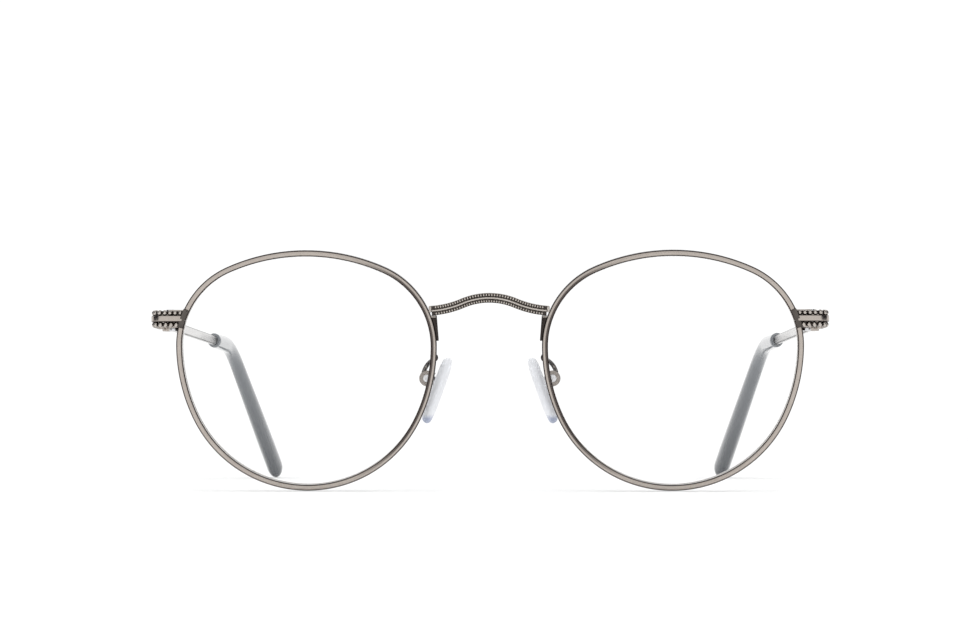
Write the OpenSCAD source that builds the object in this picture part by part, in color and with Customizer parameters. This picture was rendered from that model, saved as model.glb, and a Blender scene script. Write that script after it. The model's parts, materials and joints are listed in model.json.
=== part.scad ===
// Round wire eyeglasses: two grooved rims, a saddle bridge, adjustable nose pads and two
// folding temples with plastic tips.
// +Z is up, the front faces -Y and the temples run back along +Y. The frame stands on the
// lowest points of its rims and on its temple tips. The wearer's left side is +X.
// Every paired piece is drawn for +X and mirrored for the wearer's right.

/* [Lenses] */
// Width of a lens at its widest line
lens_w = 50.5; // [40:0.1:62]
// Height of the lens above its widest line
brow_rise = 18.4; // [15:0.1:23]
// Depth of the lens below its widest line
cheek_drop = 28.3; // [23:0.1:34]
// Distance between the two lenses
lens_gap = 22.6; // [17:0.1:28]
// Angle above the widest line where a side arc gives way to the brow arc
shoulder_turn = 66; // [50:0.5:75]
// Angle below the widest line where a side arc gives way to the cheek arc
cheek_turn = 24.6; // [15:0.1:40]
// Thickness of a lens
lens_t = 1.8; // [1.2:0.1:2.4]
// Radius of the front surface of a lens
lens_curve_r = 132; // [100:1:260]
// Lean of the front, its top edge forwards
front_tilt = 8; // [0:0.5:12]

/* [Rim wire] */
// Width of the rim wire as seen from the front
rim_w = 1.2; // [1:0.05:1.6]
// Depth of the rim wire from front to back
rim_depth = 1.9; // [1.6:0.1:2.6]
// Radius of the rim wire's edges
rim_edge_r = 0.25; // [0.1:0.05:0.4]
// Depth of the groove that holds the lens
groove_depth = 0.4; // [0.3:0.05:0.6]
// Width of the groove at its mouth
groove_w = 1.1; // [0.8:0.1:1.3]
// Gap where each rim is split to let its lens in
rim_split = 0.2; // [0.1:0.05:0.4]

/* [Bridge] */
// Height of the bridge ends above the lenses' widest line
bridge_rise = 7.2; // [4:0.1:10]
// Height of the bridge bar as seen from the front
bridge_h = 2; // [1.6:0.1:2.6]
// Thickness of the bridge bar from front to back
bridge_t = 1.3; // [1:0.1:1.8]
// Steepest slope of the saddle curve
saddle_slope = 23; // [15:1:30]
// Length of the bridge foot soldered down the rim
foot_len = 5; // [3:0.1:7]

/* [End pieces] */
// Height of the end pieces above the lenses' widest line
end_rise = 5.5; // [3:0.1:8]
// Reach of an end piece from the rim to the outer face of the temple
end_reach = 6.1; // [5:0.1:8]
// Height of the smooth bar
end_bar_h = 1.3; // [1:0.1:1.8]
// Thickness of the smooth bar
end_bar_t = 1.3; // [1:0.1:1.6]
// Diameter of the beaded wires between two beads
bead_wire_d = 0.8; // [0.6:0.05:1]
// Diameter of one bead
bead_d = 1.15; // [0.9:0.05:1.4]
// Distance from one bead to the next
bead_pitch = 1.02; // [0.9:0.02:1.3]
// Bend radius of the end piece at its corner
corner_r = 2.2; // [1.8:0.1:3]

/* [Hinges] */
// Distance of the hinge axis behind the front of the end piece
hinge_setback = 10.2; // [8:0.1:14]
// Diameter of the hinge barrels
barrel_d = 2.6; // [2.2:0.1:3.2]
// Height of the whole hinge
hinge_h = 3.9; // [3.3:0.1:5]
// Height of the middle barrel, which belongs to the temple
tongue_h = 1.4; // [1:0.1:2]
// Diameter of the hinge screws
hinge_screw_d = 1.4; // [1:0.1:1.6]
// Thickness of the hinge plates
hinge_plate_t = 0.6; // [0.4:0.1:0.9]

/* [Temples] */
// Length of the metal bar from the hinge to the plastic tip
bar_len = 71; // [55:0.5:90]
// Height of the metal bar
bar_h = 2.2; // [1.8:0.1:3]
// Thickness of the metal bar
bar_t = 1.2; // [0.9:0.1:1.5]
// Slope of the temple down towards the ear
temple_slope = 0.8; // [0:0.1:2]
// Inward turn of the open temple
temple_toe = 1; // [0:0.1:3]
// Height of the metal core inside the tip
core_h = 1.2; // [0.9:0.1:1.4]
// Thickness of the metal core inside the tip
core_t = 0.8; // [0.6:0.1:0.9]
// Length of the core left out at the end of the tip
core_stop = 8; // [5:0.5:14]

/* [Temple tips] */
// Length of the tip before its bend
tip_straight = 18; // [10:0.5:26]
// Bend radius of the tip behind the ear
ear_bend_r = 18; // [12:0.5:26]
// Bend angle of the tip behind the ear
ear_bend = 44; // [30:1:60]
// Inward lean of the hanging part of the tip
ear_lean = 13.8; // [0:0.2:20]
// Height of the tip at its mouth
mouth_h = 3.4; // [3:0.1:4.5]
// Thickness of the tip at its mouth
mouth_t = 3.1; // [2.6:0.1:3.8]
// Height of the tip at its waist
waist_h = 3.8; // [3.2:0.1:5.5]
// Thickness of the tip at its waist
waist_t = 3.2; // [2.6:0.1:4]
// Height of the paddle at the end of the tip
paddle_h = 6.4; // [5:0.1:8]
// Thickness of the paddle at the end of the tip
paddle_t = 4; // [2.8:0.1:4.4]

/* [Nose pads] */
// Length of a nose pad
pad_len = 14; // [11:0.1:16]
// Width of a nose pad from front to back
pad_w = 7.2; // [6:0.1:9]
// Thickness of a nose pad
pad_t = 2.1; // [1.8:0.1:3]
// Lean of the pads in front view, their tops together
pad_lean = 20; // [10:1:30]
// Turn of the pads in top view, their back edges apart
pad_splay = 3; // [0:1:20]
// Distance of the pad screw from the middle of the frame
pad_pivot_x = 12.6; // [11:0.1:15]
// Depth of the pad screw below the lenses' widest line
pad_pivot_drop = 6.4; // [4:0.1:9]
// Distance of the pad screw behind the rims' middle plane
pad_setback = 6; // [5:0.1:9]
// Distance of the pad's middle below its screw
pad_hang = 1.6; // [0:0.1:3]
// Diameter of the pad arm wire
pad_wire_d = 0.9; // [0.7:0.05:1.2]
// Diameter of the pad screw
pad_screw_d = 0.8; // [0.6:0.05:1]
// Width of the pad box from front to back
box_w = 2.8; // [2.4:0.1:3.4]
// Thickness of the lug that the box holds
lug_t = 1.1; // [0.8:0.1:1.4]

/* [Fits] */
// Radial running clearance between a moving bore and its screw
running_gap = 0.03; // [0.02:0.01:0.1]
// Radial clearance between a fixed bore and its screw
screw_gap = 0.02; // [0.01:0.01:0.05]
// Clearance beside a moving hinge or pad part
side_gap = 0.1; // [0.05:0.01:0.15]
// Clearance between a lens and its groove
lens_fit = 0.05; // [0.03:0.01:0.1]
// Clearance between a moulded or pushed-on part and what it holds
push_gap = 0.06; // [0.03:0.01:0.1]
// Depth by which soldered pieces run into one another
solder = 0.05; // [0.02:0.01:0.1]

/* [Hidden] */
$fn = 96;
// Fineness of curves that are large beside the piece they shape
FINE = 360;

PEWTER = [0.62, 0.58, 0.55];
DARK_PEWTER = [0.30, 0.27, 0.25];
STEEL = [0.72, 0.72, 0.74];
CLEAR = [0.80, 0.90, 0.95, 0.35];
SILICONE = [0.86, 0.90, 0.93, 0.6];
SMOKE = [0.35, 0.37, 0.39];

// Overlap of cutting bodies past the faces that they cut
cut = 1;

// A quarter of a lens's outline is a side arc and an end arc that meet in a common tangent.
// An arc is [centre x, centre y, radius, first angle, last angle].
half_w = lens_w / 2;
function quarter(a, b, turn) =
    let (apart = abs(a - b) / (cos(turn) + sin(turn) - 1), wide = a >= b,
        small = wide ? b - apart * (1 - sin(turn)) : a - apart * (1 - cos(turn)), big = small + apart)
    [[a - (wide ? small : big), 0, wide ? small : big, 0, turn],
        [0, b - (wide ? big : small), wide ? big : small, turn, 90]];
upper = quarter(half_w, brow_rise, shoulder_turn);
lower = quarter(half_w, cheek_drop, cheek_turn);
outline = [
    upper[0],
    [0, upper[1].y, upper[1][2], shoulder_turn, 180 - shoulder_turn],
    [-upper[0].x, 0, upper[0][2], 180 - shoulder_turn, 180],
    [-lower[0].x, 0, lower[0][2], 180, 180 + cheek_turn],
    [0, -lower[1].y, lower[1][2], 180 + cheek_turn, 360 - cheek_turn],
    [lower[0].x, 0, lower[0][2], 360 - cheek_turn, 360]
];

// Half width of the outline at a height above its widest line, grown by an offset
function side_x(rise, offset) =
    let (arc = rise >= 0 ? upper[0] : lower[0])
    arc.x + sqrt((arc[2] + offset) * (arc[2] + offset) - rise * rise);

// The rim section runs from its groove mouth to its outer face, measured from the lens edge
rim_in = -groove_depth;
rim_out = rim_w - groove_depth;
// Section of the rim wire as [outwards from the lens edge, forwards]
rim_section = [[lens_fit, 0], [rim_in, -groove_w / 2], [rim_in, -rim_depth / 2],
    for (a = [-90, -45, 0]) rim_corner(a, -1), for (a = [0, 45, 90]) rim_corner(a, 1),
    [rim_in, rim_depth / 2], [rim_in, groove_w / 2]];
function rim_corner(a, face) =
    [rim_out - rim_edge_r * (1 - cos(a)), face * (rim_depth / 2 - rim_edge_r) + rim_edge_r * sin(a)];
// Distance from one ring of the rim wire to the next
rim_step = 1.2;
// The lens's tongue stops this far short of the lens edge, where the groove is still wide
tongue_back = 0.15;

// The front is drawn flat, with x across, y up and z forwards, then leaned about its foot
eye_x = (lens_gap + lens_w) / 2;
eye_rise = cheek_drop + rim_out;
foot_lift = (rim_depth / 2 - rim_edge_r) * sin(front_tilt) + rim_edge_r * (1 - cos(front_tilt));
function front_y(rise) = -(eye_rise + rise) * sin(front_tilt);
function front_z(rise) = foot_lift + (eye_rise + rise) * cos(front_tilt);

// Sag of the lens curve from its top to the mean of its edge
lens_mid_rise = (brow_rise - cheek_drop) / 2;
lens_edge_r = (half_w + (brow_rise + cheek_drop) / 2) / 2;
lens_sag = lens_curve_r - sqrt(lens_curve_r * lens_curve_r - lens_edge_r * lens_edge_r);

// Bridge: a crown arc and two arcs that level out towards the rims
bridge_end_x = eye_x - side_x(bridge_rise, rim_out);
bridge_half = bridge_end_x - 0.6;
bridge_level = 4;
crown_half = 0.46 * bridge_half;
crown_r = crown_half / sin(saddle_slope);
flank_r = (bridge_half - crown_half) / (sin(saddle_slope) - sin(bridge_level));
saddle_rise = crown_r * (1 - cos(saddle_slope)) + flank_r * (cos(bridge_level) - cos(saddle_slope));
bridge_mid_z = 1;
bridge_turn_r = 0.8;
bridge_foot_in = 1;

// End piece: across from the rim, round its corner and back to the hinge
end_x = eye_x + side_x(end_rise, rim_out);
side_face_x = end_x + end_reach;
run_x = side_face_x - end_bar_t / 2;
end_z = front_z(end_rise);
end_front_y = front_y(end_rise) - rim_depth / 2 - 0.35;
end_mid_y = end_front_y + end_bar_t / 2;
bead_wire_dz = (end_bar_h + bead_d) / 2 - solder;

// Hinge
hinge_x = run_x - end_bar_t / 2 - side_gap - barrel_d / 2 - 0.15;
hinge_y = end_front_y + hinge_setback;
hinge_z = end_z - 0.2;
side_run = hinge_y - side_gap - end_mid_y - corner_r;
hinge_head_d = 2.3;
hinge_head_h = 0.5;
plate_len = 5;

// Closing block behind the end piece
block_x = end_x + 1.5;
block_y = end_front_y + end_bar_t + 1.05;
block_w = 2;
block_h = (end_bar_h + 2 * bead_d - rim_split) / 2;
rim_screw_d = 1.2;
rim_head_d = 1.8;
rim_head_h = 0.6;

// Temple, drawn along +Y from the hinge axis
bar_x = run_x - hinge_x;
mouth_y = bar_len;

// Tip: its centre line runs straight, bends down behind the ear and hangs to the ground
ear_arc = ear_bend_r * ear_bend * PI / 180;
end_r = paddle_h / 2;
tip_rest = sqrt(pow(end_r * cos(ear_lean), 2) + pow(paddle_t / 2 * sin(ear_lean), 2));
hang_y = mouth_y + tip_straight + ear_bend_r * sin(ear_bend);
hang_drop = ear_bend_r * (1 - cos(ear_bend));
hang_len = (hinge_z - hang_y * sin(temple_slope) - tip_rest
        - hang_drop * cos(ear_lean) * cos(temple_slope))
    / (cos(ear_bend) * sin(temple_slope) + sin(ear_bend) * cos(ear_lean) * cos(temple_slope));
tip_len = tip_straight + ear_arc + hang_len + end_r;

function ease(u) = let (c = min(max(u, 0), 1)) c * c * (3 - 2 * c);
// Turn of the centre line at a distance along it
function tip_turn(s) = min(max(s - tip_straight, 0), ear_arc) / ear_arc * ear_bend;
// Point on the centre line in the plane of the bend, as [back, down]
function tip_point(s) =
    let (turn = tip_turn(s), before = min(s, tip_straight), after = max(s - tip_straight - ear_arc, 0))
    [before + ear_bend_r * sin(turn) + after * cos(turn), ear_bend_r * (1 - cos(turn)) + after * sin(turn)];
// Height and thickness of the tip at a distance along it
function tip_size(s, mouth, waist, paddle) =
    waist + (mouth - waist) * (1 - ease(s / tip_straight))
        + (paddle - waist) * ease((s - tip_straight) / (tip_len - end_r - tip_straight));
// The end closes as a half circle, and the mouth has a small round edge
function end_close(s) =
    let (u = max(s - tip_len + end_r, 0) / end_r) sqrt(max(1 - u * u, 0));

// Frame of the pad screw
pad_y = front_y(-pad_pivot_drop) + pad_setback;
pad_z = front_z(-pad_pivot_drop);
pad_back = 1.7;
box_reach = 1;
box_back = 1.6;
box_h = 3.2;
lug_r = 0.9;
plate_h = 7;
plate_w = 3;
plate_t = 0.5;
plate_deep = 0.9;

// Middle of the whole frame from front to back: from the brow edge to the end of the tips
function tip_end_reach() =
    let (c = tip_point(tip_len - end_r), along = mouth_y + c.x, drop = -c.y * cos(ear_lean), side = -c.y * sin(ear_lean))
    (along * cos(temple_slope) + drop * sin(temple_slope)) * cos(temple_toe)
        + (bar_x + side) * sin(temple_toe) + end_r;
depth_back = hinge_y + tip_end_reach();
lens_front = front_y(lens_mid_rise) - lens_curve_r
    - (lens_sag + lens_t / 2 - lens_curve_r) * cos(front_tilt);
depth_front = min(front_y(brow_rise + rim_out) - rim_depth / 2, end_front_y, lens_front,
    front_y(bridge_rise + saddle_rise + bridge_h / 2) - bridge_mid_z - bridge_t / 2);
origin_y = (depth_front + depth_back) / 2;

// Triangles of a closed tube, from its number of rings and of points around each ring. Both ends
// are fans about a ring's first point, which sees the whole ring.
function tube_faces(rings, sides) = concat(
    [for (i = [0 : rings - 2], k = [0 : sides - 1])
        let (p = i * sides + k, q = i * sides + (k + 1) % sides)
        each [[p, q, q + sides], [p, q + sides, p + sides]]],
    [for (k = [1 : sides - 2]) [0, k + 1, k]],
    [for (k = [1 : sides - 2]) let (base = (rings - 1) * sides) [base, base + k, base + k + 1]]);

// ---- placing ----

// Right is the wearer's right, the mirrored side
module side(name) {
    translate([0, -origin_y, 0])
        if (name == "right")
            mirror([1, 0, 0]) children();
        else
            children();
}

// Flat drawing of the front, its origin midway between the eyes on their widest line
module on_front() {
    translate([0, 0, foot_lift])
        rotate([90 + front_tilt, 0, 0])
            translate([0, eye_rise, 0]) children();
}

module on_eye() {
    on_front() translate([eye_x, 0, 0]) children();
}

// Pad frame: x away from the nose, y back, z up along the pad, with its origin on the screw
module on_pad() {
    translate([pad_pivot_x, pad_y, pad_z])
        rotate([0, -pad_lean, pad_splay]) children();
}

// Temple frame: y back along the bar, with its origin on the hinge axis
module on_hinge() {
    translate([hinge_x, hinge_y, hinge_z])
        rotate([0, 0, temple_toe]) children();
}

// Frame of the tip's bend: y back, z up in the plane of the bend, with its origin at the mouth
module on_tip() {
    on_hinge()
        rotate([-temple_slope, 0, 0])
            translate([bar_x, mouth_y, 0])
                rotate([0, ear_lean, 0]) children();
}

// ---- rims and lenses ----

module rounded_box(w, h, r) {
    translate([-w / 2, -h / 2 + r]) square([w, h - 2 * r]);
    translate([-w / 2 + r, -h / 2]) square([w - 2 * r, h]);
    for (x = [-1, 1])
        for (y = [-1, 1])
            translate([x * (w / 2 - r), y * (h / 2 - r)]) circle(r);
}

// Upright plate with round ends: x is its thickness, z its height
module stadium(w, h) {
    square([w, h - w], center = true);
    for (y = [-1, 1])
        translate([0, y * (h - w) / 2]) circle(w / 2);
}

// Ring of the rim wire at an angle of an arc of the outline
function rim_ring(arc, a) =
    [for (p = rim_section)
        [arc.x + (arc[2] + p.x) * cos(a), arc.y + (arc[2] + p.x) * sin(a), p.y]];

// The wire runs once round the lens, from just above its split to just below it
module rim() {
    split_turn = asin(end_rise / (upper[0][2] + rim_out));
    half_split = rim_split / 2 / upper[0][2] * 180 / PI;
    stretches = [[outline[0], split_turn + half_split, shoulder_turn],
        for (i = [1 : 5]) [outline[i], outline[i][3], outline[i][4]],
        [outline[0], 0, split_turn - half_split]];
    turns = [for (t = stretches, n = ceil((t[2] - t[1]) / 360 * 2 * PI * t[0][2] / rim_step), i = [1 : n])
        [t[0], t[1] + (t[2] - t[1]) * i / n]];
    rings = concat([rim_ring(outline[0], split_turn + half_split)], [for (t = turns) rim_ring(t[0], t[1])]);
    color(PEWTER)
        on_eye()
            polyhedron([for (r = rings) each r], tube_faces(len(rings), len(rim_section)), convexity = 6);
}

// Plate cut to the outline of the lens, moved out by an offset
module outline_plate(offset, h) {
    steps = 16;
    linear_extrude(h, center = true)
        polygon([for (arc = outline, i = [0 : steps - 1])
            let (a = arc[3] + (arc[4] - arc[3]) * i / steps)
            [arc.x + (arc[2] + offset) * cos(a), arc.y + (arc[2] + offset) * sin(a)]]);
}

// Meniscus with a thin tongue around its edge, which stands in the groove
module lens() {
    color(CLEAR)
        on_eye() {
            intersection() {
                outline_plate(rim_in - lens_fit, 2 * (lens_sag + lens_t + cut));
                translate([0, lens_mid_rise, lens_sag + lens_t / 2 - lens_curve_r])
                    rotate_extrude($fn = FINE)
                        intersection() {
                            difference() {
                                circle(lens_curve_r);
                                circle(lens_curve_r - lens_t);
                            }
                            translate([0, lens_curve_r / 2]) square([lens_w, lens_curve_r]);
                        }
            }
            outline_plate(-tongue_back, groove_w * (tongue_back + lens_fit) / (groove_depth + lens_fit) - 2 * lens_fit);
        }
}

// ---- bridge ----

// Slope of the saddle curve, its height and its distance out at a place from -1 to 1 along it
function saddle_at(u) =
    let (c = abs(u), turn = c < 0.5 ? 2 * c * saddle_slope : saddle_slope - (2 * c - 1) * (saddle_slope - bridge_level),
        out = c < 0.5 ? crown_r * sin(turn) : crown_half + flank_r * (sin(saddle_slope) - sin(turn)),
        fall = c < 0.5 ? crown_r * (1 - cos(turn)) : saddle_rise - flank_r * (cos(bridge_level) - cos(turn)))
    [turn * sign(u), bridge_rise + saddle_rise - fall, out * sign(u)];

// Section of the bar as [up, forwards]: a flat back and, in front, a ridge between two rows
function bridge_profile(k) =
    let (v = k / 6 - 1)
    k > 12 ? [(k == 13 ? 1 : -1) * bridge_h / 2, -bridge_t / 2]
        : [v * bridge_h / 2, bridge_t * (0.25 + 0.25 * abs(cos(270 * v)))];

// Ring of the bar square to the saddle curve; past its ends the bar turns back into the rims
function bridge_ring(u) =
    let (inside = min(max(u, -1), 1), place = saddle_at(inside), over = (u - inside) * 180,
        out = place[2] + bridge_turn_r * sin(over), back = bridge_turn_r * (1 - cos(over)))
    [for (k = [0 : 14])
        let (p = bridge_profile(k))
        [out + p.x * sin(place[0]) + p.y * sin(over),
            place[1] + p.x * cos(place[0]),
            bridge_mid_z - back + p.y * cos(over)]];

module bridge() {
    places = [for (i = [-15 : 15]) i <= -12 ? -1 + (i + 12) / 8 : i >= 12 ? 1 + (i - 12) / 8 : i / 12];
    color(DARK_PEWTER)
        translate([0, -origin_y, 0])
            on_front()
                polyhedron([for (u = places) each bridge_ring(u)], tube_faces(len(places), 15), convexity = 4);
}

// Tapered foot that is soldered down the nose side of the rim, under the bridge's end
module bridge_foot() {
    top = bridge_rise - bridge_h / 2 - side_gap;
    bottom = top - foot_len;
    foot_t = 1.5;
    foot_tip_w = 0.45;
    color(DARK_PEWTER)
        on_front()
            difference() {
                translate([0, 0, -foot_t / 2])
                    linear_extrude(foot_t)
                        polygon([[bridge_half - bridge_foot_in, top],
                            [eye_x - side_x(bottom, rim_out) - foot_tip_w, bottom],
                            [eye_x - side_x(bottom, rim_out) + rim_w, bottom],
                            [bridge_end_x + rim_w, top]]);
                translate([eye_x - upper[0].x, 0, 0]) rim_side_cut();
            }
}

// Cuts a soldered piece back to the side of the rim, less the solder's depth
module rim_side_cut() {
    cylinder(r = upper[0][2] + rim_out - solder, h = 8 * rim_depth, center = true, $fn = FINE);
}

// ---- end pieces ----

// Plate over the front of the rim, which hides the ends of the bar and the beaded wires
module end_plate() {
    plate_rise = 0.35;
    stack = end_bar_h / 2 + bead_d;
    first = asin((end_rise - stack) / upper[0][2]);
    last = asin((end_rise + stack) / upper[0][2]);
    color(DARK_PEWTER)
        on_eye()
            translate([upper[0].x, 0, rim_depth / 2 - solder])
                rotate([0, 0, first])
                    rotate_extrude(angle = last - first)
                        translate([upper[0][2] + rim_in + 0.15, 0]) square([rim_w - 0.1, plate_rise + solder]);
}

// Profile swept across, round the corner and back to the hinge; x is outwards, y is up
module end_sweep(start) {
    translate([start, end_mid_y, 0])
        rotate([90, 0, 90])
            linear_extrude(run_x - corner_r - start) mirror([1, 0]) children();
    translate([run_x - corner_r, end_mid_y + corner_r, 0])
        rotate([0, 0, -90])
            rotate_extrude(angle = 90) translate([corner_r, 0]) children();
    translate([run_x, end_mid_y + corner_r + side_run, 0])
        rotate([90, 0, 0])
            linear_extrude(side_run) children();
}

module end_bar() {
    start = end_x - 0.9;
    color(PEWTER)
        difference() {
            translate([0, 0, end_z]) end_sweep(start) rounded_box(end_bar_t, end_bar_h, 0.2);
            on_eye() translate([upper[0].x, 0, 0]) rim_side_cut();
        }
}

// Wire swelling into a bead at every pitch, along the same way as the bar
module bead_wire(level) {
    sides = 12;
    rings_per_bead = 4;
    start = eye_x + side_x(end_rise + level * bead_wire_dz, rim_out) - 2 * solder;
    across = run_x - corner_r - start;
    corner_len = corner_r * PI / 2;
    len = across + corner_len + side_run;
    beads = round(len / bead_pitch);
    rings = beads * rings_per_bead;
    mean_r = (bead_d + bead_wire_d) / 4;
    swell = (bead_d - bead_wire_d) / 4;
    points = [for (i = [0 : rings], k = [0 : sides - 1])
        let (s = i * len / rings, a = k * 360 / sides,
            turn = min(max(s - across, 0), corner_len) / corner_r * 180 / PI,
            r = mean_r - swell * cos(i * 360 / rings_per_bead))
        [start + min(s, across) + corner_r * sin(turn) - r * sin(a) * sin(turn),
            end_mid_y + corner_r * (1 - cos(turn)) + max(s - across - corner_len, 0) + r * sin(a) * cos(turn),
            end_z + level * bead_wire_dz + r * cos(a)]];
    color(DARK_PEWTER)
        polyhedron(points, tube_faces(rings + 1, sides), convexity = 6);
}

// Half of the block that closes the split rim: +1 is the upper half, -1 the lower
module closing_block(level) {
    gap = level > 0 ? screw_gap : running_gap;
    back_off = level > 0 ? -solder : side_gap;
    front_face = block_y - 1.05 + back_off;
    color(PEWTER)
        difference() {
            translate([end_x - 0.8, front_face, end_z + (level > 0 ? rim_split / 2 : -rim_split / 2 - block_h)])
                cube([block_x + block_w / 2 - end_x + 0.8, block_y + block_w / 2 - front_face, block_h]);
            on_eye() translate([upper[0].x, 0, 0]) rim_side_cut();
            translate([block_x, block_y, end_z]) cylinder(d = rim_screw_d + 2 * gap, h = 4 * block_h, center = true);
        }
}

module slotted_screw(d, len, head_d, head_h) {
    slot_w = 0.25;
    cylinder(d = d, h = len);
    difference() {
        translate([0, 0, len]) cylinder(d = head_d, h = head_h);
        translate([-head_d, -slot_w / 2, len + head_h * 0.45]) cube([2 * head_d, slot_w, head_h]);
    }
}

// Screw from below through both halves of the closing block
module rim_screw() {
    color(STEEL)
        translate([block_x, block_y, end_z + rim_split / 2 + block_h])
            mirror([0, 0, 1]) slotted_screw(rim_screw_d, 2 * block_h + rim_split, rim_head_d, rim_head_h);
}

// ---- hinges ----

// Barrels between two heights, about the hinge axis
module hinge_ring(d, low, high) {
    translate([0, 0, low]) cylinder(d = d, h = high - low);
}

module hinge_front() {
    inner = bar_x - end_bar_t / 2;
    color(PEWTER)
        translate([hinge_x, hinge_y, hinge_z])
            difference() {
                union() {
                    hinge_ring(barrel_d, -hinge_h / 2, hinge_h / 2);
                    translate([0, -barrel_d / 2, -hinge_h / 2]) cube([inner + solder, barrel_d / 2 - side_gap, hinge_h]);
                    translate([inner - hinge_plate_t, -plate_len, -hinge_h / 2 + 0.3])
                        cube([hinge_plate_t + solder, plate_len - side_gap, hinge_h - 0.6]);
                }
                hinge_ring(hinge_screw_d + 2 * screw_gap, -hinge_h, hinge_h);
                hinge_ring(barrel_d + 2 * side_gap, -tongue_h / 2 - side_gap / 2, tongue_h / 2 + side_gap / 2);
            }
}

// Middle barrel and plate on the temple
module hinge_tongue() {
    inner = bar_x - bar_t / 2;
    color(PEWTER)
        on_hinge()
            difference() {
                union() {
                    hinge_ring(barrel_d, -tongue_h / 2, tongue_h / 2);
                    translate([0, side_gap, -tongue_h / 2]) cube([inner + solder, barrel_d / 2 - side_gap, tongue_h]);
                    translate([inner - hinge_plate_t, side_gap, -bar_h / 2 + 0.5])
                        cube([hinge_plate_t + solder, plate_len, bar_h - 1]);
                }
                hinge_ring(hinge_screw_d + 2 * running_gap, -hinge_h, hinge_h);
                for (level = [0, 1])
                    mirror([0, 0, level]) hinge_ring(barrel_d + 2 * side_gap, tongue_h / 2, hinge_h);
            }
}

module hinge_screw() {
    color(STEEL)
        translate([hinge_x, hinge_y, hinge_z - hinge_h / 2])
            slotted_screw(hinge_screw_d, hinge_h, hinge_head_d, hinge_head_h);
}

// ---- temples ----

// Square core along the tip's centre line, grown by a clearance
module core_shape(first, last, grow) {
    bend_steps = 14;
    stops = [first, for (i = [0 : bend_steps]) tip_straight + ear_arc * i / bend_steps, last];
    half = [core_t / 2 + grow, core_h / 2 + grow];
    corners = [[1, 1], [-1, 1], [-1, -1], [1, -1]];
    points = [for (s = stops, corner = corners)
        let (c = tip_point(s), turn = tip_turn(s))
        [corner.x * half.x, c.x + corner.y * half.y * sin(turn), -c.y + corner.y * half.y * cos(turn)]];
    on_tip() polyhedron(points, tube_faces(len(stops), len(corners)), convexity = 4);
}

// Flat bar with round edges, butting on the end piece when the temple is open
module temple_bar() {
    core_root = 2;
    color(PEWTER) {
        on_hinge()
            difference() {
                rotate([-temple_slope, 0, 0])
                    translate([bar_x, mouth_y - push_gap, 0])
                        rotate([90, 0, 0])
                            linear_extrude(mouth_y - push_gap - side_gap) stadium(bar_t, bar_h);
                translate([0, -bar_h, -bar_h]) cube([2 * bar_x, bar_h + side_gap, 2 * bar_h]);
            }
        core_shape(-core_root, tip_len - core_stop, 0);
    }
}

// Rings of an oval section along the tip's centre line, closed at both ends
module tip_body() {
    sides = 20;
    stops = [for (i = [0 : 26]) (tip_len - end_r) * i / 26, for (i = [1 : 5]) tip_len - end_r * (1 - sin(17.5 * i))];
    points = [for (s = stops, k = [0 : sides - 1])
        let (c = tip_point(s), turn = tip_turn(s), a = (k + 0.5) * 360 / sides,
            t = tip_size(s, mouth_t, waist_t, paddle_t) / 2 * end_close(s),
            h = tip_size(s, mouth_h, waist_h, paddle_h) / 2 * end_close(s))
        [t * cos(a), c.x + h * sin(a) * sin(turn), -c.y + h * sin(a) * cos(turn)]];
    polyhedron(points, tube_faces(len(stops), sides), convexity = 4);
}

// The tip is moulded over the core
module temple_tip() {
    color(SMOKE)
        difference() {
            on_tip() tip_body();
            core_shape(-cut, tip_len - core_stop + push_gap, push_gap);
        }
}

// ---- nose pads ----

// Points along the bent wire from the rim to the box
arm_root = [eye_x - side_x(-2.3, rim_out) + 0.3, front_y(-2.3) + rim_depth / 2 - 0.3, front_z(-2.3)];
function on_pad_point(p) =
    let (x = p.x * cos(pad_lean) - p.z * sin(pad_lean), z = p.x * sin(pad_lean) + p.z * cos(pad_lean))
    [pad_pivot_x + x * cos(pad_splay) - p.y * sin(pad_splay),
        pad_y + x * sin(pad_splay) + p.y * cos(pad_splay), pad_z + z];
arm_end = on_pad_point([box_back - 0.4, 0, 0.9]);
arm_turn_1 = arm_root + [-0.5, 3, 0];
arm_turn_2 = arm_end + [-0.6, 2.4, 2.6];
function arm_point(u) =
    pow(1 - u, 3) * arm_root + 3 * pow(1 - u, 2) * u * arm_turn_1
        + 3 * (1 - u) * u * u * arm_turn_2 + pow(u, 3) * arm_end;
function unit(v) = v / norm(v);

module pad_arm() {
    rings = 18;
    sides = 12;
    points = [for (i = [0 : rings], k = [0 : sides - 1])
        let (u = i / rings, along = unit(arm_point(u + 0.01) - arm_point(u - 0.01)),
            across = unit(cross(along, [1, 0, 0])), over = cross(along, across), a = -k * 360 / sides)
        arm_point(u) + pad_wire_d / 2 * (across * cos(a) + over * sin(a))];
    color(PEWTER)
        polyhedron(points, tube_faces(rings + 1, sides), convexity = 4);
}

// Open box whose two cheeks hold the pad's lug
module pad_box() {
    color(PEWTER)
        on_pad()
            difference() {
                union() {
                    translate([-box_reach, -box_w / 2, -box_h / 2]) cube([box_reach, box_w, box_h]);
                    intersection() {
                        rotate([90, 0, 0]) cylinder(r = box_back, h = box_w, center = true);
                        translate([-cut, -box_w, -box_h / 2]) cube([box_back + 2 * cut, 2 * box_w, box_h]);
                    }
                }
                rotate([90, 0, 0])
                    cylinder(r = lug_r + side_gap, h = lug_t + 2 * side_gap, center = true);
                translate([-2 * box_reach, -lug_t / 2 - side_gap, -box_h])
                    cube([2 * box_reach, lug_t + 2 * side_gap, 2 * box_h]);
                rotate([90, 0, 0]) cylinder(d = pad_screw_d + 2 * screw_gap, h = 2 * box_w, center = true);
            }
}

module pad_screw() {
    color(STEEL)
        on_pad()
            translate([0, box_w / 2, 0])
                rotate([90, 0, 0]) slotted_screw(pad_screw_d, box_w, 1.5, 0.45);
}

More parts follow.
